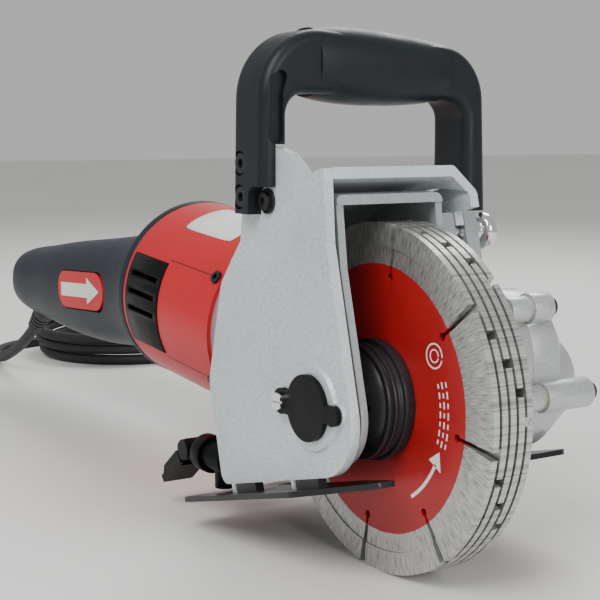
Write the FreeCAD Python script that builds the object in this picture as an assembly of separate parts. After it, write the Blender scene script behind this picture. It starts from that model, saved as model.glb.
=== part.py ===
"""Wall chaser: a hand-held cutter with five diamond blades side by side on one spindle.

Row frame, millimetres: origin at the centre of the spindle's nose end, +Y along the spindle towards
the gear head, +X forward, +Z up as the tool stands.  The motor rises a little towards its tail, and
the guard with its sole plate stands nose-up; both are modelled level and then turned about the spindle.
"""
import FreeCAD, Part
import math
import os

os.makedirs("parts", exist_ok=True)

# ---- driving dimensions --------------------------------------------------------------------------
BLADE_RADIUS = 78.0
BLADE_COUNT = 5
BLADE_PITCH = 4.4
CORE_THICK = 1.8
SEGMENT_THICK = 3.0
SEGMENT_INNER_R = 68.0
SLOT_COUNT = 8
ARBOR_R = 11.1
FIRST_BLADE_Y = 22.0

GUARD_TILT = 14.3
MOTOR_TILT = 5.15
MOTOR_Y = 67.0
MOTOR_R = 53.0
MOTOR_FRONT = -140.0
MOTOR_REAR = -244.0

PLATE_Y = (-13.0, -8.5)
PLATE_BOTTOM = -30.6
TOP_W = 97.0
TOP_THICK = 5.0

INNER_R = 91.0
INNER_WALL = 3.5
INNER_Y = (-6.0, 50.0)

GEAR_TEETH = 36
PINION_TEETH = 12
MODULE = 1.4
SPINDLE_R = 8.5
CASE_R = 31.0
CASE_RISE = 14.0
CASE_Y = (50.0, 86.0)
COVER_END_Y = 122.0
FIT = 0.05

CAP_X = 1.0
CAP_RISE = 1.5
CAP_EARS = ((-18.5, 5.8), (21.0, 4.4))
EAR_SCREW = (-34.5, 86.5)

LOCK_U = 16.0
LOCK_W = 70.0
CORD_R = 4.25


# ---- helpers -------------------------------------------------------------------------------------
def vec(x, y, z):
    return FreeCAD.Vector(x, y, z)


def box(x0, x1, y0, y1, z0, z1):
    return Part.makeBox(x1 - x0, y1 - y0, z1 - z0, vec(x0, y0, z0))


def rod_x(r, x0, x1, y=0.0, z=0.0):
    return Part.makeCylinder(r, x1 - x0, vec(x0, y, z), vec(1, 0, 0))


def rod_y(r, y0, y1, x=0.0, z=0.0):
    return Part.makeCylinder(r, y1 - y0, vec(x, y0, z), vec(0, 1, 0))


def rod_z(r, z0, z1, x=0.0, y=0.0):
    return Part.makeCylinder(r, z1 - z0, vec(x, y, z0), vec(0, 0, 1))


def ring_y(r_out, r_in, y0, y1, x=0.0, z=0.0):
    return rod_y(r_out, y0, y1, x, z).cut(rod_y(r_in, y0 - 1, y1 + 1, x, z))


def ring_x(r_out, r_in, x0, x1):
    return rod_x(r_out, x0, x1).cut(rod_x(r_in, x0 - 1, x1 + 1))


def turned(shape, degrees, centre=(0, 0, 0), axis=(0, 1, 0)):
    out = shape.copy()
    out.rotate(vec(*centre), vec(*axis), degrees)
    return out


def moved(shape, x, y, z):
    out = shape.copy()
    out.translate(vec(x, y, z))
    return out


def fuse(shapes):
    out = shapes[0].fuse(shapes[1:]) if len(shapes) > 1 else shapes[0]
    return out.removeSplitter()


def rounded_face(points):
    """Closed outline in the XZ plane; each point is (x, z, corner radius)."""
    edges = []
    count = len(points)
    corners = []
    for i, (x, z, r) in enumerate(points):
        here = vec(x, 0, z)
        before = vec(points[i - 1][0], 0, points[i - 1][1])
        after = vec(points[(i + 1) % count][0], 0, points[(i + 1) % count][1])
        to_before = (before - here).normalize()
        to_after = (after - here).normalize()
        if r <= 0:
            corners.append((here, here, here))
            continue
        half = to_before.getAngle(to_after) / 2
        reach = r / math.tan(half)
        inward = (to_before + to_after).normalize()
        centre = here + inward * (r / math.sin(half))
        middle = centre - inward * r
        corners.append((here + to_before * reach, middle, here + to_after * reach))
    for i in range(count):
        start, middle, end = corners[i]
        if start.distanceToPoint(end) > 1e-6:
            edges.append(Part.Arc(start, middle, end).toShape())
        next_start = corners[(i + 1) % count][0]
        if end.distanceToPoint(next_start) > 1e-6:
            edges.append(Part.makeLine(end, next_start))
    return Part.Face(Part.Wire(edges))


def slab(points, y0, y1):
    face = rounded_face(points)
    face.translate(vec(0, y0, 0))
    return face.extrude(vec(0, y1 - y0, 0))


def slab_x(points, x0, x1):
    """Outline in the YZ plane given as (y, z, corner radius), drawn out along X."""
    flat = slab([(y, z, r) for y, z, r in points], 0, x1 - x0)
    out = turned(flat, -90, axis=(0, 0, 1))
    out = out.mirror(vec(0, 0, 0), vec(0, 1, 0))
    return moved(out, x0, 0, 0)


def guard(shape):
    """From the level guard frame to the row frame."""
    return turned(shape, -GUARD_TILT)


def motor(shape):
    """From the motor's own axis frame to the row frame."""
    return turned(moved(shape, 0, MOTOR_Y, 0), MOTOR_TILT)


def save(name, shape):
    solids = shape.Solids
    out = solids[0] if len(solids) == 1 else Part.makeCompound(solids)
    out.exportStep("parts/" + name + ".step")


def screw_y(x, z, y_seat, direction, head_r=4.0, head_h=4.0, shank_r=2.0, shank=10.0):
    """Socket screw along Y; direction is +1 when the head points to +Y."""
    head = rod_y(head_r, 0, head_h).cut(rod_y(head_r * 0.45, head_h * 0.45, head_h + 1))
    out = head.fuse(rod_y(shank_r, -shank, 0))
    if direction < 0:
        out = turned(out, 180, axis=(1, 0, 0))
    return moved(out, x, y_seat, z)


# ---- blades --------------------------------------------------------------------------------------
def slot_cutters(phase):
    """Wedge slots that widen outwards, each with a round keyhole at its root."""
    root = 55.0
    wedge = [(root, -0.7, 0), (BLADE_RADIUS + 2, -2.0, 0), (BLADE_RADIUS + 2, 2.0, 0), (root, 0.7, 0)]
    cutters = []
    for i in range(SLOT_COUNT):
        tool = slab(wedge, 0, 60).fuse(rod_y(1.8, 0, 60, root, 0))
        cutters.append(turned(tool, phase + i * 360.0 / SLOT_COUNT))
    return cutters


def make_blades():
    for i in range(BLADE_COUNT):
        phase = 8 + 9 * i
        rim_y = FIRST_BLADE_Y + i * BLADE_PITCH
        core_y = rim_y + (SEGMENT_THICK - CORE_THICK) / 2
        cutters = slot_cutters(phase)
        core = ring_y(SEGMENT_INNER_R, ARBOR_R, core_y, core_y + CORE_THICK).cut(cutters)
        rim = ring_y(BLADE_RADIUS, SEGMENT_INNER_R, rim_y, rim_y + SEGMENT_THICK).cut(cutters)
        save("blade_core_%d" % (i + 1), core)
        save("blade_segments_%d" % (i + 1), rim)


def make_arbor():
    first_core = FIRST_BLADE_Y + (SEGMENT_THICK - CORE_THICK) / 2
    last_core = first_core + (BLADE_COUNT - 1) * BLADE_PITCH + CORE_THICK
    rings = []
    for i in range(BLADE_COUNT - 1):
        y0 = first_core + i * BLADE_PITCH + CORE_THICK
        rings.append(ring_y(20, ARBOR_R, y0, y0 + BLADE_PITCH - CORE_THICK))
    save("spacer_rings", Part.makeCompound(rings))
    save("inner_flange", ring_y(27, ARBOR_R, last_core, 46))
    outer = fuse([ring_y(27, ARBOR_R, 17.5, first_core), ring_y(25, 7, 15.5, 17.5)])
    save("outer_flange", outer)
    save("clamp_collar", ring_y(25.5, 7, 9.5, 15.5).cut(ring_y(30, 24.3, 12, 13)))
    nut = Part.makeCone(15, 23, 5.5, vec(0, 4, 0), vec(0, 1, 0))
    nut = nut.cut(rod_y(7, 0, 10))
    for angle in (0, 90, 180, 270):
        nut = nut.cut(turned(rod_y(2.2, 0, 7.5, 15, 0), angle))
    save("lock_nut", nut)
    spindle = fuse([rod_y(7, 0, 17.5), rod_y(ARBOR_R, 17.5, 46), rod_y(SPINDLE_R, 46, 107)])
    save("spindle", spindle)


def bevel(teeth, mate_teeth, inner_share, outer_share):
    """Straight bevel gear with its apex at the origin, opening along +Z, and the height of its back."""
    pitch_angle = math.atan2(teeth, mate_teeth)
    cone = MODULE * teeth / (2 * math.sin(pitch_angle))
    height = cone * math.cos(pitch_angle)
    tip = height * math.tan(pitch_angle + 0.8 * MODULE / cone)
    root = height * math.tan(pitch_angle - 1.25 * MODULE / cone)
    step = 2 * math.pi / teeth
    tooth = ((root, -0.25), (tip, -0.085), (tip, 0.085), (root, 0.25))
    wires = []
    for scale in (outer_share, inner_share):
        points = []
        for i in range(teeth):
            for radius, share in tooth:
                angle = (i + share) * step
                points.append(vec(scale * radius * math.cos(angle), scale * radius * math.sin(angle),
                                  scale * height))
        points.append(points[0])
        wires.append(Part.makePolygon(points))
    body = Part.makeLoft(wires, True, True)
    trim = MODULE * teeth / 2 + 0.8 * MODULE * math.cos(pitch_angle)
    back = outer_share * height
    return body.common(rod_z(trim, 0, back + 1)), back


def make_gears():
    """Save both gears and return how far behind the apex the pinion's back lies."""
    wheel, back = bevel(GEAR_TEETH, PINION_TEETH, 0.72, 1.25)
    wheel = turned(wheel, 180.0 / GEAR_TEETH, axis=(0, 0, 1))
    hub = rod_z(14, back - 0.01, back + 7).fuse(rod_z(24, back - 0.01, back + 3))
    wheel = wheel.fuse(hub).cut(rod_z(SPINDLE_R, -1, 40))
    wheel = turned(wheel, -90, axis=(1, 0, 0))
    save("bevel_gear", moved(turned(wheel, MOTOR_TILT), 0, MOTOR_Y, 0))
    pinion, back = bevel(PINION_TEETH, GEAR_TEETH, 0.74, 1.0)
    hub = rod_z(7.0, back - 0.01, back + 9)
    pinion = pinion.fuse(hub).cut(rod_z(4.0, -1, 60))
    save("bevel_pinion", motor(turned(pinion, -90, axis=(0, 1, 0))))
    return back


# ---- inner guard ---------------------------------------------------------------------------------
def inner_wall(y0, y1, drum):
    outline = [(31.5, 100, 0), (26, 55, 4), (26.5, -27, 23), (-45, -27, 8), (-100, -18, 0), (-100, 100, 0)]
    return slab(outline, y0, y1).common(drum)


def make_inner_guard():
    y0, y1 = INNER_Y
    drum = rod_y(INNER_R, y0, y1)
    drum = drum.makeFillet(3.0, [e for e in drum.Edges if e.Length > 2 * math.pi * INNER_R - 1])
    left = inner_wall(y0, y0 + INNER_WALL, drum).cut(rod_y(14, y0 - 1, y1))
    right = inner_wall(y1 - INNER_WALL, y1, drum).cut(rod_y(28.2, y0, y1 + 1))
    rim = drum.cut(rod_y(INNER_R - 4, y0 - 1, y1 + 1)).common(box(-95, 30.2, y0, y1, -19, 95))
    lug = box(3, 21.5, y1, 75, 53, 78).cut(box(-5, 30, 62, 67.8, 58.5, 90))
    lug = lug.makeFillet(2.0, [e for e in lug.Edges if e.BoundBox.YLength > 20 and e.BoundBox.ZMax < 60])
    body = fuse([left, rim, right, lug])
    body = body.cut(rod_y(3.0 + FIT, 55, 80, LOCK_U, LOCK_W))
    body = body.cut(rod_y(4.6, 67, 73.3, LOCK_U, LOCK_W))
    save("inner_guard", guard(body))


def make_lock():
    stem = rod_y(3, 56, 78, LOCK_U, LOCK_W)
    collar = rod_y(4.3, 68.0, 69.5, LOCK_U, LOCK_W)
    neck = rod_y(5.2, 75.4, 78.3, LOCK_U, LOCK_W)
    head = rod_y(8.5, 78.3, 85.3, LOCK_U, LOCK_W)
    head = head.makeFillet(3.0, [e for e in head.Edges if abs(e.Length - 17 * math.pi) < 0.1])
    save("lock_plunger", guard(fuse([stem, collar, neck, head])))
    spring = ring_y(4.4, 3.3, 72.6, 73.25, LOCK_U, LOCK_W)
    save("lock_spring", guard(spring))


# ---- outer guard ---------------------------------------------------------------------------------
def make_side_plate():
    y0, y1 = PLATE_Y
    outline = [(34, TOP_W, 2), (28.4, 66, 6), (28.6, PLATE_BOTTOM, 25), (-88, PLATE_BOTTOM, 6),
               (-88, 20, 14), (-64, 64, 10), (-41, 80, 4), (-36, 93, 3), (-27, 121, 3), (-2, 114.5, 3),
               (10, 108.5, 4), (20, TOP_W, 5)]
    plate = slab(outline, y0, y1)
    plate = guard(plate)
    plate = plate.cut([rod_y(2.1, y0 - 1, y1 + 1, x, z) for x, z in LEFT_SCREWS])
    boss = Part.makeCone(19.5, 18.5, CAP_RISE, vec(CAP_X, y0, 0), vec(0, -1, 0))
    pads = [rod_y(r + 0.8, y0 - CAP_RISE, y0, x) for x, r in CAP_EARS]
    plate = plate.fuse([boss] + pads).cut(rod_y(13, y0 - 5, y1 + 1, CAP_X))
    plate = plate.cut(rod_y(2.0, y0 - 5, y1 + 1, CAP_EARS[0][0]))
    ring_x_pos, ring_z = EAR_SCREW
    plate = plate.cut(rod_y(2.5, y0 - 5, y1 + 1, ring_x_pos, ring_z))
    save("side_plate", plate)
    washer = ring_y(5.6, 2.5, y0 - 1.2, y0, ring_x_pos, ring_z)
    screw = screw_y(ring_x_pos, ring_z, y0 - 1.2, -1, head_r=3.9, head_h=2.0, shank_r=2.5, shank=5.7)
    save("ear_screw", washer.fuse(screw))


def make_top_shell():
    u0, u1 = -30.0, 34.0
    low = TOP_W - TOP_THICK
    profile = [(PLATE_Y[1], low, 0), (PLATE_Y[1], TOP_W, 0), (56, TOP_W, 3), (67, 85, 5), (67, 65, 0),
               (62.5, 65, 0), (62.5, 83.5, 3), (54.5, low, 2)]
    shell = slab_x(profile, u0, u1)
    slots = []
    steps = 12
    for i in range(steps + 1):
        slots.append(turned(rod_y(3.6, 60, 70, LOCK_U, LOCK_W), -14 + 26.0 * i / steps))
    shell = shell.cut(slots)
    shell = shell.cut(box(22, u1 + 1, 61, 68, 60, 78))
    inside = rod_y(INNER_R + 0.6, PLATE_Y[1] - 1, 62)
    save("top_shell", guard(shell.cut(inside)).fuse(handle_arm()).removeSplitter())


HANDLE_X = (-56.0, -28.5)
HANDLE_LEFT = (-20.0, -6.0)
HANDLE_RIGHT = (94.0, 108.0)
LEFT_SCREWS = ((-49.0, 103.0), (-49.0, 88.0))
RIGHT_SCREWS = ((-49.0, 93.0), (-38.0, 87.0))
EAR_TOP = 111.0
RIGHT_EAR_TOP = 99.0
# Along the bar: (y, underside, top, depth).
GRIP_SECTIONS = (
    (11.0, 132.5, 163.4, 29.4), (29.0, 129.6, 164.4, 32.2), (47.0, 128.9, 163.4, 32.6),
    (65.0, 129.3, 161.5, 32.0), (83.0, 131.2, 158.9, 30.4))


def handle_arm():
    """Arm of the top shell that carries the bail's right leg."""
    yr = HANDLE_RIGHT[0]
    ear = slab([(-53, 79, 4), (-33, 79, 4), (-33, RIGHT_EAR_TOP, 8),
                (-53, RIGHT_EAR_TOP, 8)], yr - 4.5, yr)
    arm = slab([(-52, 81, 2), (-18, 86, 2), (-18, 92, 2), (-52, 92, 2)], 60, yr - 4)
    return fuse([arm, ear]).cut([rod_y(2.1, yr - 10, yr + 5, x, z) for x, z in RIGHT_SCREWS])


def make_bail():
    x0, x1 = HANDLE_X
    yl0, yl1 = HANDLE_LEFT
    yr0, yr1 = HANDLE_RIGHT
    outer = [(yl0, 80.5, 0), (yl0 + 1.5, 164.5, 31), (yr1 - 3, 155.5, 26), (yr1, 79, 0)]
    hole = [(yl1, 60, 0), (yl1, 134, 10), (yr0, 132, 10), (yr0, 60, 0)]
    bail = slab_x(outer, x0, x1).cut(slab_x(hole, x0 - 5, x1 + 5))
    long_edges = [e for e in bail.Edges if e.BoundBox.XLength < 0.01 and e.BoundBox.DiagonalLength > 20]
    bail = bail.makeFillet(5.0, long_edges)
    bail = bail.cut(box(x0 - 1, x1 + 1, PLATE_Y[0], yl1 + 1, 60, EAR_TOP + 0.5))
    notch = slab([(-41, 70, 0), (-20, 70, 0), (-20, 93, 0), (-41, 93, 5)], yl0 - 1, yl1)
    bail = bail.cut(notch)
    grip = moved(turned(loft(GRIP_SECTIONS), 90, axis=(0, 0, 1)), (x0 + x1) / 2, 0, 0)
    bail = bail.fuse(grip)
    bail = bail.cut(slab_x([(yl0 + 3.5, 112, 3), (yl1 - 3, 112, 3), (yl1 - 3, 134, 3), (yl1 + 1, 147, 3),
                            (yl0 + 4.5, 141, 3)], x1 - 3, x1 + 5))
    screws = []
    for x, z in LEFT_SCREWS:
        bail = bail.cut([rod_y(5.6, yl0 - 1, yl0 + 4.5, x, z), rod_y(2.1, yl0, yl1 + 1, x, z)])
        screws.append(screw_y(x, z, yl0 + 4.5, -1, head_r=4.6, head_h=3.5, shank=7.0))
    for x, z in RIGHT_SCREWS:
        bail = bail.cut([rod_y(5.6, yr1 - 5, yr1 + 2, x, z), rod_y(2.1, yr0 - 3, yr1, x, z)])
        screws.append(screw_y(x, z, yr1 - 5, 1, head_r=4.6, head_h=3.5, shank=13.5))
    save("bail_handle", bail.removeSplitter())
    save("handle_screws", Part.makeCompound(screws))


def make_cap():
    y = PLATE_Y[0] - CAP_RISE - 0.05
    pivot = CAP_EARS[0][0]
    disc = rod_y(14.5, y - 2.5, y, CAP_X)
    ears = [rod_y(r, y - 2.5, y, x) for x, r in CAP_EARS]
    arms = [box(min(x, CAP_X), max(x, CAP_X), y - 2.5, y, 0.6 - r, r - 0.6) for x, r in CAP_EARS]
    cap = fuse([disc] + ears + arms).cut(rod_y(2.0 + FIT, y - 5, y + 1, pivot))
    save("access_cap", cap)
    head = rod_y(3.8, y - 5, y - 2.6, pivot).cut(box(pivot - 4, pivot + 4, y - 6, y - 4.1, -0.5, 0.5))
    save("cap_screw", head.fuse(rod_y(2.0, y - 2.6, PLATE_Y[1], pivot)))


def make_sole():
    top = PLATE_BOTTOM - 4.2
    low = top - 2.5
    outline = [(-114, -23, 5), (-10, -23, 10), (28, -4, 4), (28, 6, 3), (-8, 13, 4), (-84, 13, 3),
               (-84, 50, 3), (14, 50, 3),
               (14, 117, 6), (-70, 117, 12), (-114, 70, 12)]
    flat = slab([(u, y, r) for u, y, r in outline], 0, 2.5)
    flat = turned(flat, 90, axis=(1, 0, 0))
    flat = flat.mirror(vec(0, 0, 0), vec(0, 1, 0)) if flat.BoundBox.YMin < -100 else flat
    flat = moved(flat, 0, 0, low - flat.BoundBox.ZMin)
    save("sole_plate", guard(flat))
    blocks = []
    pins = []
    for u in (-66.0, -12.0):
        block = box(u - 9, u + 9, PLATE_Y[0] + 0.2, PLATE_Y[1], top, PLATE_BOTTOM)
        blocks.append(block)
        pins.append(rod_z(2.0, top, PLATE_BOTTOM, u - 13, -10.7))
    save("sole_blocks", guard(Part.makeCompound(blocks)))
    save("sole_pins", guard(Part.makeCompound(pins)))


VALVE_Y = -2.0
VALVE_Z = -44.0
LEVER_X = -124.0


def make_valve():
    """Water tap behind the side plate: body along X, lever on its end, riser from the sole plate."""
    body = fuse([rod_x(7, -118, -90, VALVE_Y, VALVE_Z), rod_x(9.5, -114, -106, VALVE_Y, VALVE_Z),
                 rod_z(5, -58, VALVE_Z, -95, VALVE_Y), rod_x(5, LEVER_X, -117, VALVE_Y, VALVE_Z)])
    pin_bore = rod_y(3.0 + FIT, VALVE_Y - 10, VALVE_Y + 10, LEVER_X, VALVE_Z)
    body = body.fuse(rod_y(5.5, VALVE_Y - 6, VALVE_Y + 6, LEVER_X, VALVE_Z)).cut(pin_bore)
    save("water_valve", body)
    pin = rod_y(3, VALVE_Y - 8, VALVE_Y + 8, LEVER_X, VALVE_Z)
    cheeks = []
    for y in (VALVE_Y - 8.5, VALVE_Y + 6.3):
        cheeks.append(slab([(-5, -5, 4), (5, -5, 4), (5, 5, 4), (-5, 5, 4)], y, y + 2.2))
        cheeks.append(slab([(-6, 3, 1), (-24, 3, 2), (-30, -3, 2), (-28, -4, 1), (-6, -4, 1)], y, y + 2.2))
    paddle = box(-30, -11, VALVE_Y - 8.5, VALVE_Y + 8.5, -4, 0)
    lever = fuse(cheeks + [paddle])
    lever = moved(turned(lever, -38), LEVER_X, 0, VALVE_Z).fuse(pin)
    save("valve_lever", lever)
    tail = rod_y(3.6, VALVE_Y + 6, VALVE_Y + 25, -110, VALVE_Z)
    ridges = []
    for y in (11, 16, 21):
        ridges.append(Part.makeCone(4.8, 3.6, 4, vec(-110, VALVE_Y + y, VALVE_Z), vec(0, 1, 0)))
    tail = fuse([tail] + ridges).cut(rod_y(2.4, VALVE_Y + 5, VALVE_Y + 26, -110, VALVE_Z))
    tail = tail.cut(rod_x(9.5, -114, -106, VALVE_Y, VALVE_Z))
    save("hose_tail", tail)


# ---- cord ----------------------------------------------------------------------------------------
CORD_ROUTE = ((-515.74, 67, -33.55), (-538.7, 67, -49.55), (-590, 67.5, -70), (-630, 74, -73.75),
              (-666, 94, -73.75), (-687, 138, -73.75), (-687, 190, -73.75))
TAIL_ROUTE = ((-612, 265, -47.3), (-565, 265, -47.3), (-515, 262, -66), (-470, 250, -66), (-440, 238, -66))
COIL_CENTRE = (-612.0, 190.0)
COIL_R = 75.0
COIL_LAYERS = 4
COIL_SPREAD = 16.0
FLOOR = -BLADE_RADIUS


def tube(points, radius):
    """Round cord along straight runs joined by tangent arcs."""
    pts = [vec(*p) for p in points]
    edges = []
    bends = []
    start = pts[0]
    for i in range(1, len(pts) - 1):
        back = (pts[i - 1] - pts[i])
        ahead = (pts[i + 1] - pts[i])
        short = min(back.Length, ahead.Length)
        back.normalize()
        ahead.normalize()
        reach = 0.45 * short
        enter = pts[i] + back * reach
        leave = pts[i] + ahead * reach
        half = back.getAngle(ahead) / 2
        bisector = (back + ahead).normalize()
        bend = reach * math.tan(half)
        middle = pts[i] + bisector * (bend / math.sin(half) - bend)
        edges.append(Part.makeLine(start, enter))
        edges.append(Part.Arc(enter, middle, leave).toShape())
        bends.append(round(bend, 1))
        start = leave
    edges.append(Part.makeLine(start, pts[-1]))
    path = Part.Wire(edges)
    heading = (pts[1] - pts[0]).normalize()
    profile = Part.Wire(Part.makeCircle(radius, pts[0], heading))
    solid = path.makePipeShell([profile], True, False)
    straight = math.pi * radius ** 2 * path.Length
    print("cord bends", bends, "smallest", min(bends), "volume ratio", solid.Volume / straight)
    return solid


def make_cord():
    lead = tube(CORD_ROUTE, CORD_R)
    tail = tube(TAIL_ROUTE, CORD_R)
    save("cord", Part.makeCompound([lead, tail]))
    x, y = COIL_CENTRE
    height = (COIL_LAYERS - 1) * 2 * (CORD_R + 0.15) + 2 * CORD_R
    coil = rod_z(COIL_R + COIL_SPREAD, FLOOR, FLOOR + height, x, y)
    coil = coil.cut(rod_z(COIL_R - COIL_SPREAD, FLOOR - 1, FLOOR + height + 1, x, y))
    gap = CORD_R + 0.2
    x_in, y_in, z_in = CORD_ROUTE[-1]
    x_out, y_out, z_out = TAIL_ROUTE[0]
    entry = box(x_in - gap, x_in + 3 * gap, y_in - 2 * COIL_R, y_in, FLOOR - 1, z_in + 2 * gap)
    leave = box(x_out, x_out + 2 * COIL_R, y_out - 2 * gap, y_out + gap, z_out - 2 * gap, FLOOR + height + 1)
    save("cord_coil", coil.cut([entry, leave]))
    heading = vec(*TAIL_ROUTE[-1]) - vec(*TAIL_ROUTE[-2])
    angle = math.degrees(math.atan2(heading.y, heading.x))
    body = slab([(0, -7, 3), (30, -12, 4), (44, -12, 3), (44, 12, 3), (30, 12, 4), (0, 7, 3)], -9, 9)
    pins = [rod_x(2.4, 44, 62, 0, z) for z in (-9.5, 9.5)]
    plug = fuse([turned(body, 90, axis=(1, 0, 0))] + [turned(p, 90, axis=(1, 0, 0)) for p in pins])
    plug = moved(turned(plug, angle, axis=(0, 0, 1)), *TAIL_ROUTE[-1])
    plug = moved(plug, 0, 0, FLOOR - plug.BoundBox.ZMin)
    save("plug", plug.cut(tail))


# ---- gear head -----------------------------------------------------------------------------------
def case_section(r, rise_r, y0, y1):
    low = rod_y(r, y0, y1)
    high = rod_y(rise_r, y0, y1, 0, CASE_RISE)
    web = slab([(-r, 0, 0), (-rise_r, CASE_RISE, 0), (rise_r, CASE_RISE, 0), (r, 0, 0)], y0, y1)
    return fuse([low, high, web])


COVER_BOSSES = ((34, -1, 114), (24, 38, 98), (-24, 38, 98), (-34, -1, 98))


def make_gear_case():
    y0, y1 = CASE_Y
    head = case_section(CASE_R, CASE_R - 1, y0, y1)
    snout = rod_y(28, INNER_Y[1] - INNER_WALL, y0)
    ears = [rod_y(6, y1 - 12, y1, x, z) for x, z, _ in COVER_BOSSES]
    neck = Part.makeCone(27, 50, 105, vec(-20, 0, 0), vec(-1, 0, 0))
    flange = rod_x(52, MOTOR_FRONT, -124)
    bosses = [turned(rod_x(6.5, MOTOR_FRONT, -118, 0, 50), a, axis=(1, 0, 0)) for a in (45, 135, 225, 315)]
    shell = fuse([neck, flange] + bosses)
    inner_cone = Part.makeCone(24, 46, 60, vec(-66, 0, 0), vec(-1, 0, 0))
    hollow = fuse([inner_cone, rod_x(46, MOTOR_FRONT - 1, -125.9), rod_x(16, -66, -52), rod_x(14, -53, 0)])
    hollow = motor(hollow)
    body = fuse([head, snout, motor(shell)] + ears)
    body = body.cut(rod_y(INNER_R + 1.5, y0 - 90, INNER_Y[1] - INNER_WALL))
    body = body.cut(ring_y(INNER_R + 1.5, 28, INNER_Y[1] - INNER_WALL - 1, y0))
    body = body.cut(hollow)
    body = body.cut(rod_y(27.4, 62, y1 + 1))
    body = body.cut(rod_y(20, 48.5, 62.5))
    body = body.cut(rod_y(14, 40, 51))
    behind = rod_y(200, y1, y1 + 100).common(box(-70, 80, y1, y1 + 100, -90, 90))
    body = body.cut(behind)
    for x, z, _ in COVER_BOSSES:
        body = body.cut(rod_y(2.0, y1 - 11, y1 + 1, x, z))
    for a in (45, 135, 225, 315):
        hole = rod_x(2.0, MOTOR_FRONT - 1, -115, 0, 50).fuse(rod_x(5.2, -118, -95, 0, 50))
        body = body.cut(motor(turned(hole, a, axis=(1, 0, 0))))
    save("gear_case", body)


def make_gear_cover():
    y0 = CASE_Y[1] + 0.5
    outer = case_section(CASE_R, CASE_R - 1, y0, 102)
    dome = Part.makeCone(CASE_R, 20, COVER_END_Y - 102, vec(0, 102, 0), vec(0, 1, 0))
    dome_high = Part.makeCone(CASE_R - 1, 14, COVER_END_Y - 106, vec(0, 102, CASE_RISE), vec(0, 1, 0))
    bosses = [rod_y(7, y0, end, x, z) for x, z, end in COVER_BOSSES]
    body = fuse([outer, dome, dome_high] + bosses)
    body = body.cut(rod_y(27.4, y0 - 1, 96))
    body = body.cut(rod_y(17.5, 90, 108))
    for x, z, end in COVER_BOSSES:
        body = body.cut(rod_y(2.0, y0 - 1, end + 1, x, z))
        body = body.cut(rod_y(5.0, end, end + 40, x, z))
    save("gear_cover", body)
    gasket = case_section(CASE_R, CASE_R - 1, CASE_Y[1], y0).fuse(
        [rod_y(6, CASE_Y[1], y0, x, z) for x, z, _ in COVER_BOSSES])
    gasket = gasket.cut(rod_y(27.4, CASE_Y[1] - 1, y0 + 1))
    for x, z, _ in COVER_BOSSES:
        gasket = gasket.cut(rod_y(2.0, CASE_Y[1] - 1, y0 + 1, x, z))
    save("gasket", gasket)
    screws = [screw_y(x, z, end, 1, head_r=4.2, shank=end - CASE_Y[1] + 9) for x, z, end in COVER_BOSSES]
    save("cover_screws", Part.makeCompound(screws))


def make_bearings():
    save("front_bearing", ring_y(20, SPINDLE_R + FIT, 48.5, 58.5))
    save("rear_bearing", ring_y(17.5, SPINDLE_R + FIT, 97, 107.5))
    save("pinion_bearing", motor(ring_x(16, 7.0 + FIT, -64.5, -53.5)))
    save("tail_bearing", motor(ring_x(14, 6.0 + FIT, -240, -232)))


# ---- motor ---------------------------------------------------------------------------------------
def make_armature(pinion_height):
    shaft = fuse([rod_x(4.0, -pinion_height - 9, -20), rod_x(7.0, -100, -pinion_height - 9),
                  rod_x(6.0, -241, -100)])
    save("armature_shaft", motor(shaft))
    save("armature_core", motor(ring_x(25, 6, -196, -146)))
    save("commutator", motor(ring_x(15, 6, -228, -210)))
    fan = ring_x(14, 6, -132, -116).fuse(ring_x(40, 13, -132, -130))
    blades = []
    for i in range(12):
        blades.append(turned(box(-130.1, -118, 16, 39, -0.8, 0.8), 30 * i, axis=(1, 0, 0)))
    save("cooling_fan", motor(fuse([fan] + blades)))


HOUSING_SCREW_X = -145.0
HOUSING_SCREW_TURNS = (31, -31, 149, 211)


def make_motor_housing():
    shell = ring_x(MOTOR_R, MOTOR_R - 3, MOTOR_REAR, MOTOR_FRONT)
    web = ring_x(MOTOR_R - 2, 14, -240, -236)
    lip = ring_x(18, 14, -240, -231)
    windows = []
    for i in range(8):
        windows.append(turned(box(-245, -230, 24, 42, -7, 7), 22.5 + 45 * i, axis=(1, 0, 0)))
    shell = fuse([shell, web.cut(windows), lip])
    rib = ring_x(MOTOR_R + 1.2, MOTOR_R - 1, -150, MOTOR_FRONT)
    shell = shell.fuse(rib)
    openings = [panel_block(-1, 0.0), panel_block(1, 0.0)]
    for a in HOUSING_SCREW_TURNS:
        hole = rod_y(3.6, -60, -51.6, HOUSING_SCREW_X).fuse(rod_y(1.6, -55, -40, HOUSING_SCREW_X))
        openings.append(turned(hole, a, axis=(1, 0, 0)))
    shell = shell.cut(openings)
    save("motor_housing", motor(shell.removeSplitter()))


def panel_block(side, inset):
    """Wedge-shaped window in the side wall of the housing."""
    reach = 70.0
    half = math.radians(31.0) - inset / MOTOR_R
    points = [(-8, 0), (-reach, -reach * math.tan(half)), (-reach, reach * math.tan(half))]
    wire = Part.makePolygon([vec(MOTOR_REAR + 3 + inset, side * -y, z) for y, z in points + points[:1]])
    wedge = Part.Face(wire).extrude(vec(41 - 2 * inset, 0, 0))
    return wedge.common(ring_x(MOTOR_R + 4, MOTOR_R - 8, MOTOR_REAR, MOTOR_FRONT))


def make_vent_panels():
    panels = []
    for side in (-1, 1):
        panel = panel_block(side, 0.3).common(ring_x(MOTOR_R + 0.6, MOTOR_R - 3, MOTOR_REAR, MOTOR_FRONT))
        slots = []
        for i in range(3):
            z = -5 + 10 * i
            slots.append(box(-236, -205, side * 60 - 30, side * 60 + 30, z - 1.5, z + 1.5))
        panels.append(panel.cut(slots))
    save("vent_panels", motor(Part.makeCompound(panels)))


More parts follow.
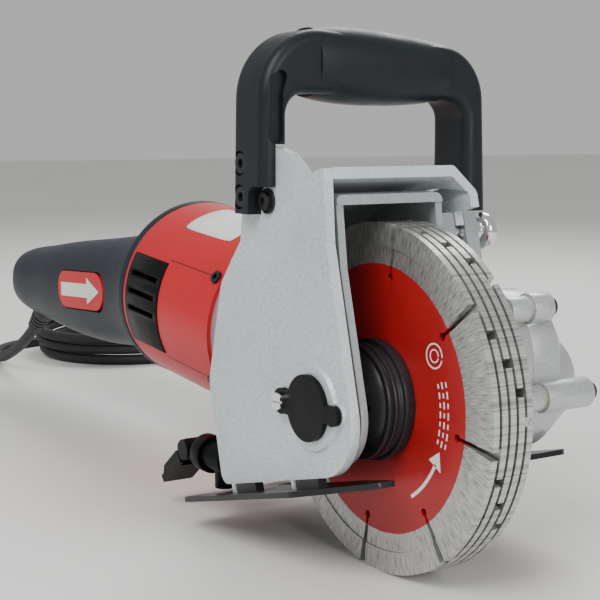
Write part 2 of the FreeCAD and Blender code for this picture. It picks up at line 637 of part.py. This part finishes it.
def make_stator():
    body = ring_x(46, 26, -198, -142)
    body = body.cut([box(-199, -141, -46, 46, 40, 50), box(-199, -141, -46, 46, -50, -40)])
    arms = [box(-170, -158, side * 47 - 2.5, side * 47 + 2.5, -6, 6) for side in (-1, 1)]
    save("stator", motor(fuse([body] + arms)))
    holders = []
    brushes = []
    for side in (0, 180):
        holder = box(-225, -213, -6, 6, 17, 44).cut(box(-222, -216, -4, 4, 10, 42))
        holders.append(turned(holder, side, axis=(1, 0, 0)))
        brushes.append(turned(box(-222, -216, -4, 4, 15.1, 34), side, axis=(1, 0, 0)))
    save("brush_holders", motor(Part.makeCompound(holders)))
    save("carbon_brushes", motor(Part.makeCompound(brushes)))
    screws = []
    for a in (45, 135, 225, 315):
        screw = turned(screw_y(0, 50, -118, 1, head_r=4.5, head_h=4.5, shank=20), -90, axis=(0, 0, 1))
        screws.append(turned(screw, a, axis=(1, 0, 0)))
    for a in HOUSING_SCREW_TURNS:
        screw = rod_y(3.4, -55.8, -51.6, HOUSING_SCREW_X).fuse(rod_y(1.5, -51.6, -48.5, HOUSING_SCREW_X))
        socket = rod_y(1.6, -56, -54, HOUSING_SCREW_X)
        screws.append(turned(screw.cut(socket), a, axis=(1, 0, 0)))
    save("flange_screws", motor(Part.makeCompound(screws)))


# ---- rear handle ---------------------------------------------------------------------------------
# Along the motor axis: (x, underside, top, width).
HANDLE_SECTIONS = (
    (-250.0, -47.0, 45.0, 92.0), (-262.0, -44.5, 37.0, 84.0), (-290.0, -46.5, 28.5, 71.0),
    (-330.0, -54.0, 19.5, 64.0), (-380.0, -60.0, 9.5, 61.0), (-425.0, -62.0, 0.5, 57.0),
    (-465.0, -62.3, -8.5, 53.0), (-490.0, -62.0, -14.0, 50.0), (-502.0, -59.0, -18.5, 45.0),
    (-509.0, -52.0, -26.5, 33.0))
HANDLE_WALL = 3.2


def oval_wire(x, low, high, width, inset):
    """Rounded section across the handle at x."""
    half_h = (high - low) / 2 - inset
    half_w = width / 2 - inset
    centre = (high + low) / 2
    points = []
    for i in range(24):
        a = 2 * math.pi * i / 24
        c, s = math.cos(a), math.sin(a)
        power = 0.8
        y = half_w * math.copysign(abs(c) ** power, c)
        z = centre + half_h * math.copysign(abs(s) ** power, s)
        points.append(vec(x, y, z))
    curve = Part.BSplineCurve()
    curve.interpolate(points, PeriodicFlag=True)
    return Part.Wire(curve.toShape())


def loft(sections, inset=0.0):
    wires = []
    for i, (x, low, high, width) in enumerate(sections):
        last = i == len(sections) - 1
        wires.append(oval_wire(x + (inset if last else 0.0), low, high, width, inset))
    return Part.makeLoft(wires, True, False)


SWITCH_X = -360.0
SWITCH_Z = -21.0
SWITCH_HALF = 37.0
SWITCH_R = 12.5
SWITCH_TRAVEL = 8.0
SWITCH_TURN = 8.3


def along_handle(shape):
    """Lower the switch's rear end, so that it runs along the drooping handle."""
    return turned(shape, -SWITCH_TURN, centre=(SWITCH_X, 0, SWITCH_Z))


def stadium(y0, y1, half, r, x=0.0):
    left = rod_y(r, y0, y1, x + SWITCH_X - half + r, SWITCH_Z)
    right = rod_y(r, y0, y1, x + SWITCH_X + half - r, SWITCH_Z)
    mid = box(x + SWITCH_X - half + r, x + SWITCH_X + half - r, y0, y1, SWITCH_Z - r, SWITCH_Z + r)
    return along_handle(fuse([left, right, mid]))


RELIEF_R = 8.5
RELIEF_LENGTH = 40.0
RELIEF_TURN = 40.0
RELIEF_ROOT = (-480.0, 0.0, -54.0)


def relief_place(shape):
    """Point a piece that is modelled along -X down and back out of the handle's underside."""
    return moved(turned(shape, -RELIEF_TURN), *RELIEF_ROOT)


def make_rear_handle():
    outer = loft(HANDLE_SECTIONS)
    inner = loft(HANDLE_SECTIONS[:-1], HANDLE_WALL)
    collar = ring_x(MOTOR_R + 0.4, MOTOR_R - 8, -251, MOTOR_REAR - 0.5)
    girth = 2 * math.pi * (MOTOR_R + 0.4)
    collar = collar.makeFillet(1.5, [e for e in collar.Edges if abs(e.Length - girth) < 0.1])
    shell = outer.fuse(collar).cut(inner)
    middle = SWITCH_TRAVEL / 2
    half = SWITCH_HALF + middle + 0.6
    well = stadium(-60, -24.0, half, SWITCH_R + 0.7, middle)
    floor = stadium(-25.5, -24.0, half + 2, SWITCH_R + 2.7, middle).common(outer)
    wall = stadium(-50, -24.0, half + 2, SWITCH_R + 2.7, middle).common(outer)
    slot = box(SWITCH_X - 5.6, SWITCH_X + 5.6 + SWITCH_TRAVEL, -30, -20, SWITCH_Z - 3, SWITCH_Z + 3)
    shell = shell.fuse([wall]).cut(well).fuse(floor).cut(along_handle(slot))
    shell = shell.cut(relief_place(rod_x(RELIEF_R + 0.1, -30, 5)))
    left = shell.common(box(-520, -240, -80, -0.05, -100, 100))
    right = shell.common(box(-520, -240, 0.05, 80, -100, 100))
    save("rear_handle_left", motor(left))
    save("rear_handle_right", motor(right))
    slide = stadium(-29.8, -25.7, SWITCH_HALF, SWITCH_R)
    stem = box(SWITCH_X - 5, SWITCH_X + 5, -25.7, -20.2, SWITCH_Z - 2.5, SWITCH_Z + 2.5)
    save("switch_slide", motor(slide.fuse(along_handle(stem))))
    body = box(SWITCH_X - 24, SWITCH_X + 24, -20, 8, SWITCH_Z - 11, SWITCH_Z + 11)
    save("switch_body", motor(along_handle(body)))
    taper = Part.makeCone(6.0, RELIEF_R, 23, vec(-RELIEF_LENGTH, 0, 0), vec(1, 0, 0))
    relief = rod_x(RELIEF_R, -17, 0).fuse(taper)
    for i in range(4):
        relief = relief.cut(ring_x(12, 6.2, -36 + 5 * i, -34 + 5 * i))
    save("strain_relief", motor(relief_place(relief)))


make_blades()
make_arbor()
make_inner_guard()
make_lock()
make_side_plate()
make_top_shell()
make_bail()
make_cap()
make_sole()
make_valve()
make_gear_case()
make_gear_cover()
make_bearings()
make_armature(make_gears())
make_motor_housing()
make_vent_panels()
make_stator()
make_rear_handle()
make_cord()
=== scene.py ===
"""Looks of the wall chaser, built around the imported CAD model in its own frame, in metres."""
import math

import bpy
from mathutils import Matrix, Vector


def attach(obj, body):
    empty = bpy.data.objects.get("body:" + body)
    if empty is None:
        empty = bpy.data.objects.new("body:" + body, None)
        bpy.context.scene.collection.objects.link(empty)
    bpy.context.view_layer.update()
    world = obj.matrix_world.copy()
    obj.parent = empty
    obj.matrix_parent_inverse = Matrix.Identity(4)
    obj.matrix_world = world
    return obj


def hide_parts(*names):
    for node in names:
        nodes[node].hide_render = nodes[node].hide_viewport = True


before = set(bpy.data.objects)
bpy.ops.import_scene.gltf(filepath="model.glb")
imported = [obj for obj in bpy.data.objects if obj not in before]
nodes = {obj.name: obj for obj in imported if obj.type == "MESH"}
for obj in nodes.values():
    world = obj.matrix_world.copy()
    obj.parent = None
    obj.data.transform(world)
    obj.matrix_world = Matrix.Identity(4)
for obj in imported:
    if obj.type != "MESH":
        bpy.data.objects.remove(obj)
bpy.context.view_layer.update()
scene = bpy.context.scene

# The spindle runs along the row's Y axis through the origin. The motor's axis crosses it.
MOTOR_TILT = math.radians(5.15)
MOTOR_Y = 0.067
FLOOR = -0.078
CORD_R = 0.00425
BLADE_COUNT = 5


# ---- small helpers -------------------------------------------------------------------------------
def motor_point(x, y, z):
    """From the motor's own axis frame to the row frame."""
    c, s = math.cos(MOTOR_TILT), math.sin(MOTOR_TILT)
    return Vector((x * c + z * s, y + MOTOR_Y, -x * s + z * c))


def mesh_piece(name, vertices, faces, material, body, smooth=True):
    mesh = bpy.data.meshes.new(name)
    mesh.from_pydata([tuple(v) for v in vertices], [], faces)
    mesh.update()
    piece = bpy.data.objects.new(name, mesh)
    scene.collection.objects.link(piece)
    mesh.materials.append(material)
    for polygon in mesh.polygons:
        polygon.use_smooth = smooth
    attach(piece, body)
    return piece


def thick(outline, place, depth):
    """Vertices and faces of a thin plate: a flat outline put in space by place(u, v, height)."""
    count = len(outline)
    vertices = [place(u, v, 0.0) for u, v in outline] + [place(u, v, depth) for u, v in outline]
    faces = [tuple(range(count)), tuple(range(2 * count - 1, count - 1, -1))]
    for i in range(count):
        j = (i + 1) % count
        faces.append((i, i + count, j + count, j))
    return vertices, faces


# ---- materials -----------------------------------------------------------------------------------
def new_material(name, color, roughness, metallic=0.0, coat=0.0):
    material = bpy.data.materials.new(name)
    material.use_nodes = True
    tree = material.node_tree
    shader = tree.nodes["Principled BSDF"]
    shader.inputs["Base Color"].default_value = (*color, 1.0)
    shader.inputs["Roughness"].default_value = roughness
    shader.inputs["Metallic"].default_value = metallic
    shader.inputs["Coat Weight"].default_value = coat
    coords = tree.nodes.new("ShaderNodeTexCoord")
    return material, tree, shader, coords


def noise(tree, coords, scale, detail=4.0, stretch=None):
    node = tree.nodes.new("ShaderNodeTexNoise")
    node.inputs["Scale"].default_value = scale
    node.inputs["Detail"].default_value = detail
    source = coords.outputs["Object"]
    if stretch:
        mapping = tree.nodes.new("ShaderNodeMapping")
        mapping.inputs["Scale"].default_value = stretch
        tree.links.new(source, mapping.inputs["Vector"])
        source = mapping.outputs["Vector"]
    tree.links.new(source, node.inputs["Vector"])
    return node.outputs["Fac"]


def ramp(tree, source, stops):
    node = tree.nodes.new("ShaderNodeValToRGB")
    elements = node.color_ramp.elements
    while len(elements) < len(stops):
        elements.new(0.5)
    for element, (position, color) in zip(elements, stops):
        element.position = position
        element.color = (*color, 1.0)
    tree.links.new(source, node.inputs["Fac"])
    return node.outputs["Color"]


# A noise texture's values lie mostly between these two.
NOISE_LOW, NOISE_HIGH = 0.3, 0.7


def spread(tree, source, low, high):
    """Map a noise texture's usual values onto low to high."""
    node = tree.nodes.new("ShaderNodeMapRange")
    node.inputs["From Min"].default_value = NOISE_LOW
    node.inputs["From Max"].default_value = NOISE_HIGH
    node.inputs["To Min"].default_value = low
    node.inputs["To Max"].default_value = high
    tree.links.new(source, node.inputs["Value"])
    return node.outputs["Result"]


def bump(tree, shader, source, strength, distance):
    node = tree.nodes.new("ShaderNodeBump")
    node.inputs["Strength"].default_value = strength
    node.inputs["Distance"].default_value = distance
    tree.links.new(source, node.inputs["Height"])
    tree.links.new(node.outputs["Normal"], shader.inputs["Normal"])


def shade(color, factor):
    return tuple(min(1.0, c * factor) for c in color)


SMOOTHEST = 0.03
GRAIN_DEPTH = 0.0001


def surface(name, color, roughness, metallic=0.0, coat=0.0, grain=900.0, relief=0.35, vary=0.12,
            polish=0.08, stretch=None, specular=0.5):
    """Moulded, cast or ground surface: tint varies slowly, the grain is fine, the polish is uneven."""
    material, tree, shader, coords = new_material(name, color, roughness, metallic, coat)
    shader.inputs["Specular IOR Level"].default_value = specular
    slow = noise(tree, coords, 28.0, 5.0)
    tint = ramp(tree, slow, [(0.32, shade(color, 1.0 - vary)), (0.68, shade(color, 1.0 + vary))])
    tree.links.new(tint, shader.inputs["Base Color"])
    patchy = noise(tree, coords, 70.0, 6.0, stretch)
    tree.links.new(spread(tree, patchy, max(SMOOTHEST, roughness - polish), roughness + polish),
                   shader.inputs["Roughness"])
    fine = noise(tree, coords, grain, 3.0, stretch)
    bump(tree, shader, fine, relief, GRAIN_DEPTH)
    return material


def speckled_cast(name, base, dark, light, roughness, metallic):
    """Cast aluminium with a sprayed, finely speckled skin."""
    material, tree, shader, coords = new_material(name, base, roughness, metallic)
    speck = noise(tree, coords, 1500.0, 2.0)
    tint = ramp(tree, speck, [(0.30, dark), (0.48, base), (0.60, base), (0.72, light)])
    slow = noise(tree, coords, 20.0, 4.0)
    tone = ramp(tree, slow, [(0.3, (0.88, 0.88, 0.88)), (0.7, (1.0, 1.0, 1.0))])
    mix = tree.nodes.new("ShaderNodeMix")
    mix.data_type = "RGBA"
    mix.blend_type = "MULTIPLY"
    mix.inputs["Factor"].default_value = 1.0
    tree.links.new(tint, mix.inputs["A"])
    tree.links.new(tone, mix.inputs["B"])
    tree.links.new(mix.outputs["Result"], shader.inputs["Base Color"])
    tree.links.new(spread(tree, noise(tree, coords, 160.0, 5.0), roughness - 0.08, roughness + 0.1),
                   shader.inputs["Roughness"])
    bump(tree, shader, noise(tree, coords, 1100.0, 3.0), 0.35, 0.00012)
    return material


def radius_from_spindle(tree, coords):
    """Distance from the spindle's axis, which is the row's Y axis."""
    split = tree.nodes.new("ShaderNodeSeparateXYZ")
    tree.links.new(coords.outputs["Object"], split.inputs["Vector"])
    join = tree.nodes.new("ShaderNodeCombineXYZ")
    tree.links.new(split.outputs["X"], join.inputs["X"])
    tree.links.new(split.outputs["Z"], join.inputs["Y"])
    length = tree.nodes.new("ShaderNodeVectorMath")
    length.operation = "LENGTH"
    tree.links.new(join.outputs["Vector"], length.inputs[0])
    return length.outputs["Value"], split


def math_node(tree, operation, a, b):
    node = tree.nodes.new("ShaderNodeMath")
    node.operation = operation
    for socket, value in zip(node.inputs, (a, b)):
        if isinstance(value, float):
            socket.default_value = value
        else:
            tree.links.new(value, socket)
    return node.outputs["Value"]


PAINT_EDGE_R = 0.0604
PAINT_EDGE_WANDER = 0.0009
RIM_METALLIC = 0.75


def blade_material(name, painted):
    """Blade face: satin red paint inside, then a sintered silver rim with radial grinding marks."""
    silver = (0.52, 0.52, 0.51)
    material, tree, shader, coords = new_material(name, silver, 0.4, RIM_METALLIC)
    radius, split = radius_from_spindle(tree, coords)
    angle = math_node(tree, "ARCTAN2", split.outputs["Z"], split.outputs["X"])
    join = tree.nodes.new("ShaderNodeCombineXYZ")
    tree.links.new(math_node(tree, "MULTIPLY", angle, 90.0), join.inputs["X"])
    tree.links.new(math_node(tree, "MULTIPLY", radius, 160.0), join.inputs["Y"])
    streaks = tree.nodes.new("ShaderNodeTexNoise")
    streaks.inputs["Scale"].default_value = 1.0
    streaks.inputs["Detail"].default_value = 6.0
    tree.links.new(join.outputs["Vector"], streaks.inputs["Vector"])
    grit = noise(tree, coords, 1300.0, 3.0)
    metal = ramp(tree, streaks.outputs["Fac"],
                 [(0.24, (0.17, 0.165, 0.155)), (0.42, (0.42, 0.42, 0.40)), (0.75, (0.74, 0.74, 0.72))])
    color = metal
    if painted:
        paint = ramp(tree, noise(tree, coords, 35.0, 5.0),
                     [(0.3, (0.33, 0.008, 0.010)), (0.7, (0.41, 0.012, 0.014))])
        edge = math_node(tree, "ADD", radius, math_node(tree, "MULTIPLY", grit, PAINT_EDGE_WANDER))
        mask = math_node(tree, "GREATER_THAN", edge, PAINT_EDGE_R)
        mix = tree.nodes.new("ShaderNodeMix")
        mix.data_type = "RGBA"
        tree.links.new(mask, mix.inputs["Factor"])
        tree.links.new(paint, mix.inputs["A"])
        tree.links.new(metal, mix.inputs["B"])
        color = mix.outputs["Result"]
        tree.links.new(math_node(tree, "MULTIPLY", mask, RIM_METALLIC), shader.inputs["Metallic"])
    tree.links.new(color, shader.inputs["Base Color"])
    tree.links.new(spread(tree, grit, 0.32, 0.46), shader.inputs["Roughness"])
    bump(tree, shader, streaks.outputs["Fac"], 0.25, 0.0002)
    return material


CAST = speckled_cast("guard_cast", (0.61, 0.675, 0.69), (0.45, 0.505, 0.52), (0.82, 0.87, 0.88), 0.42, 0.25)
INNER = speckled_cast("inner_cast", (0.37, 0.40, 0.41), (0.27, 0.295, 0.305), (0.55, 0.58, 0.59), 0.42, 0.3)
HEAD = speckled_cast("gear_head_cast", (0.54, 0.56, 0.57), (0.42, 0.44, 0.45), (0.70, 0.72, 0.73), 0.36,
                     0.55)
RED = surface("red_shell", (0.56, 0.010, 0.018), 0.36, coat=0.04, grain=1400.0, relief=0.01, vary=0.03,
              polish=0.02, specular=0.3)
# Dark slate plastic: its base colour is partly the plastic's own tint and partly a painted reflection, with
# extra blue standing in for the pale sky reflected on the handle's top.
SLATE = surface("slate_shell", (0.014, 0.020, 0.029), 0.44, grain=1700.0, relief=0.05, vary=0.05,
                polish=0.02, specular=0.2)
BLACK = surface("black_plastic", (0.004, 0.005, 0.005), 0.40, grain=1500.0, relief=0.2, specular=0.12)
GRIP = surface("bail_plastic", (0.008, 0.011, 0.014), 0.42, grain=1300.0, relief=0.2, specular=0.28)
RUBBER = surface("cord_rubber", (0.012, 0.012, 0.013), 0.58, grain=800.0, relief=0.3)
OXIDE = surface("black_oxide", (0.022, 0.022, 0.024), 0.34, 0.5, grain=700.0, relief=0.25, vary=0.2)
HUB = surface("turned_black", (0.032, 0.032, 0.036), 0.30, 0.5, grain=300.0, relief=0.3, stretch=(40, 1, 40))
STEEL = surface("ground_steel", (0.56, 0.56, 0.55), 0.26, 1.0, grain=500.0, relief=0.2, stretch=(8, 1, 8))
CHROME = surface("chrome", (0.78, 0.78, 0.79), 0.10, 1.0, grain=200.0, relief=0.05, vary=0.04, polish=0.05)
IRON = surface("laminated_iron", (0.11, 0.10, 0.095), 0.5, 0.8, grain=60.0, relief=0.5, stretch=(30, 1, 1))
COPPER = surface("copper", (0.62, 0.28, 0.14), 0.3, 1.0, grain=400.0)
CARBON = surface("carbon", (0.03, 0.03, 0.03), 0.7, grain=900.0)
PAPER = surface("gasket_paper", (0.33, 0.29, 0.16), 0.85, grain=900.0, relief=0.5)
SEAM = surface("housing_seam", (0.16, 0.004, 0.006), 0.5, grain=900.0)
WHITE = surface("white_print", (0.78, 0.78, 0.76), 0.45, grain=900.0, relief=0.1, vary=0.06)
SEGMENT = blade_material("diamond_rim", painted=False)
BLADE = blade_material("blade_painted", painted=True)

LOOKS = {
    CAST: ("side_plate", "top_shell"),
    INNER: ("inner_guard",),
    HEAD: ("gear_case", "gear_cover"),
    RED: ("motor_housing", "switch_slide"),
    SLATE: ("rear_handle_left", "rear_handle_right"),
    GRIP: ("bail_handle",),
    BLACK: ("vent_panels", "access_cap", "water_valve", "valve_lever", "hose_tail", "switch_body",
            "cooling_fan", "brush_holders"),
    RUBBER: ("cord", "cord_coil", "plug", "strain_relief"),
    OXIDE: ("sole_plate", "sole_blocks", "cover_screws", "flange_screws", "handle_screws", "lock_spring",
            "inner_flange", "spacer_rings", "ear_screw"),
    HUB: ("outer_flange", "clamp_collar", "lock_nut"),
    STEEL: ("spindle", "armature_shaft", "bevel_gear", "bevel_pinion", "sole_pins", "front_bearing",
            "rear_bearing", "pinion_bearing", "tail_bearing"),
    CHROME: ("lock_plunger", "cap_screw"),
    IRON: ("stator", "armature_core"),
    COPPER: ("commutator",),
    CARBON: ("carbon_brushes",),
    PAPER: ("gasket",),
    SEGMENT: tuple("blade_segments_%d" % i for i in range(1, BLADE_COUNT + 1)),
    BLADE: tuple("blade_core_%d" % i for i in range(1, BLADE_COUNT + 1)),
}
EDGE_WIDTH = {"side_plate": 0.0009, "top_shell": 0.0008, "inner_guard": 0.0008, "gear_case": 0.0010,
              "gear_cover": 0.0012, "switch_slide": 0.0009, "water_valve": 0.0006, "valve_lever": 0.0005,
              "vent_panels": 0.0004, "plug": 0.0012, "clamp_collar": 0.0006, "outer_flange": 0.0005,
              "lock_nut": 0.0005, "sole_plate": 0.0004}
JOIN_DISTANCE = 0.00001
SHARP_ANGLE = math.radians(38)


def dress(node, material):
    """Give a CAD node its material and, where EDGE_WIDTH names it, joined and slightly rounded edges."""
    node.data.materials.clear()
    node.data.materials.append(material)
    if node.name in EDGE_WIDTH:
        weld = node.modifiers.new("join", "WELD")
        weld.merge_threshold = JOIN_DISTANCE
        rounding = node.modifiers.new("edges", "BEVEL")
        rounding.width = EDGE_WIDTH[node.name]
        rounding.segments = 2
        rounding.limit_method = "ANGLE"
        rounding.angle_limit = SHARP_ANGLE


for look, names in LOOKS.items():
    for name in names:
        dress(nodes[name], look)


# ---- camera, light and floor ---------------------------------------------------------------------
CAMERA_PLACE = (0.47519, -0.32404, 0.11720)
CAMERA_AZIMUTH = math.radians(57.2804)
CAMERA_ELEVATION = math.radians(7.1280)
LENS_MM = 81.0
SENSOR_MM = 36.0
STAGE_HALF = 8.0
WORLD_STRENGTH = 0.55


def make_camera():
    data = bpy.data.cameras.new("camera")
    data.lens = LENS_MM
    data.sensor_width = SENSOR_MM
    data.clip_start = 0.01
    camera = bpy.data.objects.new("camera", data)
    scene.collection.objects.link(camera)
    level = math.cos(CAMERA_ELEVATION)
    back = Vector((math.sin(CAMERA_AZIMUTH) * level, -math.cos(CAMERA_AZIMUTH) * level,
                   math.sin(CAMERA_ELEVATION)))
    camera.location = CAMERA_PLACE
    camera.rotation_euler = (-back).to_track_quat("-Z", "Y").to_euler()
    scene.camera = camera


def area_light(name, place, target, size, energy):
    data = bpy.data.lights.new(name, "AREA")
    data.shape = "DISK"
    data.size = size
    data.energy = energy
    light = bpy.data.objects.new(name, data)
    scene.collection.objects.link(light)
    light.location = place
    light.rotation_euler = (Vector(target) - Vector(place)).to_track_quat("-Z", "Y").to_euler()


def make_stage():
    material, tree, shader, coords = new_material("studio_floor", (0.80, 0.79, 0.77), 0.85)
    tint = ramp(tree, noise(tree, coords, 3.0, 3.0), [(0.3, (0.78, 0.77, 0.75)), (0.7, (0.82, 0.81, 0.79))])
    tree.links.new(tint, shader.inputs["Base Color"])
    mesh = bpy.data.meshes.new("studio_floor")
    corners = [(x * STAGE_HALF, y * STAGE_HALF, FLOOR) for x, y in ((-1, -1), (1, -1), (1, 1), (-1, 1))]
    mesh.from_pydata(corners, [], [(0, 1, 2, 3)])
    floor = bpy.data.objects.new("studio_floor", mesh)
    scene.collection.objects.link(floor)
    mesh.materials.append(material)
    world = bpy.data.worlds.new("studio")
    world.use_nodes = True
    sky = world.node_tree.nodes["Background"]
    sky.inputs["Color"].default_value = (0.93, 0.93, 0.92, 1.0)
    sky.inputs["Strength"].default_value = WORLD_STRENGTH
    scene.world = world
    area_light("key", place=(0.5, -0.9, 1.1), target=(-0.05, 0.05, 0.02), size=0.9, energy=17.0)
    area_light("front", place=(1.4, 0.1, 0.5), target=(0.0, 0.05, 0.0), size=0.8, energy=9.0)
    area_light("back", place=(-0.9, 0.9, 1.2), target=(-0.15, 0.05, 0.05), size=1.0, energy=16.0)


make_camera()
make_stage()


# ---- cord ----------------------------------------------------------------------------------------
LEAD = ((-0.51574, 0.067, -0.03355), (-0.5387, 0.067, -0.04955), (-0.590, 0.0675, -0.070),
        (-0.630, 0.074, -0.07375), (-0.666, 0.094, -0.07375), (-0.687, 0.138, -0.07375),
        (-0.687, 0.190, -0.07375))
TAIL = ((-0.612, 0.265, -0.0473), (-0.565, 0.265, -0.0473), (-0.515, 0.262, -0.066),
        (-0.470, 0.250, -0.066), (-0.440, 0.238, -0.066))
COIL_CENTRE = (-0.612, 0.190)
COIL_RADIUS = 0.075
COIL_TURNS = 3.25
POINTS_PER_TURN = 16
TURN_GAP = 0.0003
LAYER = 2 * CORD_R + TURN_GAP
CLIMB_START = 0.7
LOOSENESS = 0.0034
LOOSE_WAVES = 2.3


def coil_points():
    """Loose turns on each other; each lies level, then climbs one layer in its last three tenths."""
    points = []
    for i in range(1, int(COIL_TURNS * POINTS_PER_TURN)):
        turns = i / POINTS_PER_TURN
        angle = math.pi - 2 * math.pi * turns
        climb = max(0.0, (turns % 1.0 - CLIMB_START) / (1.0 - CLIMB_START))
        z = LEAD[-1][2] + LAYER * (int(turns) + climb * climb * (3 - 2 * climb))
        fade = min(1.0, 2 * turns, 2 * (COIL_TURNS - turns))
        radius = COIL_RADIUS + LOOSENESS * math.sin(LOOSE_WAVES * turns * math.pi) * fade
        x = COIL_CENTRE[0] + radius * math.cos(angle)
        y = COIL_CENTRE[1] + radius * math.sin(angle)
        points.append((x, y, z))
    return points


def make_cord():
    data = bpy.data.curves.new("mains_cord", "CURVE")
    data.dimensions = "3D"
    data.bevel_depth = CORD_R
    data.bevel_resolution = 5
    data.resolution_u = 10
    data.use_fill_caps = True
    route = list(LEAD) + coil_points() + list(TAIL)
    spline = data.splines.new("NURBS")
    spline.points.add(len(route) - 1)
    for point, place in zip(spline.points, route):
        point.co = (*place, 1.0)
    spline.order_u = 3
    spline.use_endpoint_u = True
    cord = bpy.data.objects.new("mains_cord", data)
    scene.collection.objects.link(cord)
    data.materials.append(RUBBER)
    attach(cord, "machine")
    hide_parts("cord", "cord_coil")


make_cord()


# ---- printed marks and small trim ----------------------------------------------------------------
# Angles on the blade are in degrees, from the row's X axis towards Z.
BLADE_FACE_Y = 0.02259
PRINT_DEPTH = 0.00008
MARK_RADIUS = 0.046
ARROW_HALF = 0.0045
RING_ANGLE = 32
BAR_ROWS = (0.0488, 0.0462, 0.0436)
BAR_WIDTH = 0.0008
BARS_PER_ROW = 7
FIRST_BAR_ANGLE = 16
BAR_STEP = 5.2
BAR_HALF_SPAN = 1.3
LONG_BAR_EXTRA = 0.5


def blade_print(name, outline):
    """Thin white mark on the front blade's face, which looks towards -Y."""
    vertices, faces = thick(outline, lambda u, v, h: Vector((u, BLADE_FACE_Y - h, v)), PRINT_DEPTH)
    mesh_piece(name, vertices, faces, WHITE, "blades", smooth=False)


def arc_band(radius, width, start, end, steps=24):
    """Closed outline of a band along an arc, angles in degrees."""
    outer = []
    inner = []
    for i in range(steps + 1):
        a = math.radians(start + (end - start) * i / steps)
        outer.append(((radius + width / 2) * math.cos(a), (radius + width / 2) * math.sin(a)))
        inner.append(((radius - width / 2) * math.cos(a), (radius - width / 2) * math.sin(a)))
    return outer + inner[::-1]


def make_blade_print():
    """Generic marks on the front blade: a turning arrow, two rings and rows of short bars."""
    blade_print("print_arrow_shaft", arc_band(MARK_RADIUS, width=0.0016, start=-58, end=-28))
    tip, back = math.radians(-20), math.radians(-29)
    head = [((MARK_RADIUS + side) * math.cos(a), (MARK_RADIUS + side) * math.sin(a))
            for a, side in ((back, -ARROW_HALF), (back, ARROW_HALF), (tip, 0.0))]
    blade_print("print_arrow_head", head)
    turn = math.radians(RING_ANGLE)
    x, z = MARK_RADIUS * math.cos(turn), MARK_RADIUS * math.sin(turn)
    for name, radius, width in (("outer", 0.0052, 0.0007), ("inner", 0.0027, 0.0006)):
        ring = arc_band(radius, width, start=0, end=345)
        blade_print("print_ring_" + name, [(x + u, z + v) for u, v in ring])
    for i in range(BARS_PER_ROW):
        middle = FIRST_BAR_ANGLE - BAR_STEP * i
        for k, radius in enumerate(BAR_ROWS):
            span = BAR_HALF_SPAN + LONG_BAR_EXTRA * ((i + k) % 2)
            bar = arc_band(radius, BAR_WIDTH, middle - span, middle + span, steps=6)
            blade_print("print_bar_%d_%d" % (i, k), bar)


# The slide's middle, in the motor's own axis frame.
SWITCH_X = -0.360
SWITCH_Z = -0.021
SWITCH_TURN = math.radians(8.3)
SLIDE_FACE_Y = -0.02985
ARROW_DEPTH = 0.00012


def make_switch_arrow():
    """White arrow on the slide, pointing forward; the slide's rear end is lower than its front."""
    c, s = math.cos(SWITCH_TURN), math.sin(SWITCH_TURN)

    def place(u, v, h):
        return motor_point(SWITCH_X + u * c - v * s, SLIDE_FACE_Y - h, SWITCH_Z + u * s + v * c)

    end, neck, shaft, wing = 0.031, 0.012, 0.0046, 0.0088
    arrow = [(-end, -shaft), (neck, -shaft), (neck, -wing), (end, 0.0), (neck, wing), (neck, shaft),
             (-end, shaft)]
    vertices, faces = thick(arrow, place, ARROW_DEPTH)
    mesh_piece("slide_arrow", vertices, faces, WHITE, "switch", smooth=False)


PATCH_CELLS = 16
CORNER_ROUNDING = 0.06
PATCH_DEPTH = 0.0002
SEAM_ANGLE = 31.6
SEAM_HALF_WIDTH = 0.35


def housing_patch(name, x0, x1, low, high, radius, material):
    """Thin patch with rounded corners on the round housing; its angles rise from the -Y side."""
    vertices = []
    faces = []
    for i in range(PATCH_CELLS + 1):
        for j in range(PATCH_CELLS + 1):
            u, v = 2.0 * i / PATCH_CELLS - 1.0, 2.0 * j / PATCH_CELLS - 1.0
            round_u = u * (1.0 - CORNER_ROUNDING * abs(v) ** 6)
            round_v = v * (1.0 - CORNER_ROUNDING * abs(u) ** 6)
            x = (x0 + x1) / 2 + round_u * (x1 - x0) / 2
            a = math.radians((low + high) / 2 + round_v * (high - low) / 2)
            vertices.append(motor_point(x, -radius * math.cos(a), radius * math.sin(a)))
    for i in range(PATCH_CELLS):
        for j in range(PATCH_CELLS):
            k = i * (PATCH_CELLS + 1) + j
            faces.append((k, k + 1, k + PATCH_CELLS + 2, k + PATCH_CELLS + 1))
    piece = mesh_piece(name, vertices, faces, material, "machine")
    solid = piece.modifiers.new("thickness", "SOLIDIFY")
    solid.thickness = PATCH_DEPTH
    solid.offset = 0.0


make_blade_print()
make_switch_arrow()
housing_patch("rating_label", x0=-0.2135, x1=-0.1600, low=55.0, high=88.0, radius=0.0532, material=WHITE)
for level, turn in (("low", -SEAM_ANGLE), ("high", SEAM_ANGLE)):
    housing_patch("housing_seam_" + level, x0=-0.2005, x1=-0.1505, low=turn - SEAM_HALF_WIDTH,
                  high=turn + SEAM_HALF_WIDTH, radius=0.05302, material=SEAM)
bpy.context.view_layer.update()
